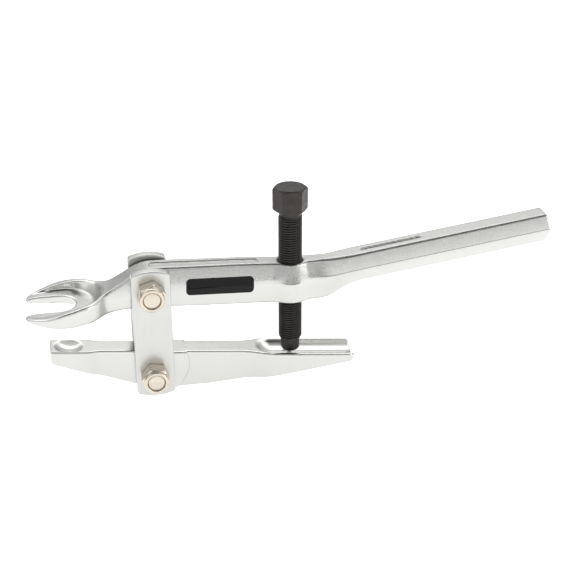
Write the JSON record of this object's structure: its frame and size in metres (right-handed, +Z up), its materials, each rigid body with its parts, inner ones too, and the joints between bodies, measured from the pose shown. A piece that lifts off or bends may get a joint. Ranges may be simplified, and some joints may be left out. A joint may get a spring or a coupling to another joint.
{
  "type": "ball joint separator",
  "caption": "Forged ball joint separator: open fork on a long lever, a linked lower arm below it, and a hex-head forcing screw that closes the jaws.",
  "frame": {"origin": "middle of the footprint at the tool's lowest point", "axes": "+X along the tool from the fork to the handle, +Y across its thickness away from the nuts, +Z up the forcing screw"},
  "size_m": [0.308, 0.0488, 0.1199],
  "materials": {
    "satin_chrome": "satin plated forging",
    "plate_chrome": "fine satin plated plate",
    "pale_gold": "pale yellow plated steel",
    "black_oxide": "black oxide, slightly oily",
    "ball_steel": "polished hardened steel",
    "nylon": "natural nylon",
    "label_black": "plain satin film, no text"
  },
  "bodies": {
    "lever": {"upper_lever": "satin_chrome", "side_label": "label_black"},
    "links": {"front_link": "plate_chrome", "rear_link": "plate_chrome", "upper_pivot_bolt": "pale_gold", "lower_pivot_bolt": "pale_gold", "upper_lock_nut": "pale_gold", "lower_lock_nut": "pale_gold", "upper_nut_ring": "nylon", "lower_nut_ring": "nylon"},
    "arm": {"lower_arm": "satin_chrome"},
    "thrust_tip": {"thrust_ball": "ball_steel"},
    "screw": {"spindle": "black_oxide"}
  },
  "joints": [
    {"name": "link_swing", "type": "hinge", "parent": "lever", "child": "links", "pos_m": [-0.08345, 0.00035, 0.0671], "axis": [0, 1, 0], "range_deg": [0, 9]},
    {"name": "arm_rock", "type": "hinge", "parent": "links", "child": "arm", "pos_m": [-0.08345, 0.00035, 0.0141], "axis": [0, 1, 0], "range_deg": [-15.95, 18.05]},
    {"name": "spindle_feed", "type": "slide", "parent": "lever", "child": "thrust_tip", "axis": [0, 0, -1], "range_m": [-0.0231, 0.0261]},
    {"name": "spindle_turn", "type": "hinge", "parent": "thrust_tip", "child": "screw", "pos_m": [-0.00065, 0.00035, 0.0727], "axis": [0, 0, -1], "range_deg": [-5550, 6270]}
  ],
  "couplings": [
    {"joint": "spindle_turn", "follows": "spindle_feed", "rad_per_m": 4188.8},
    {"joint": "arm_rock", "follows": "spindle_feed", "rad_per_m": 12}
  ]
}
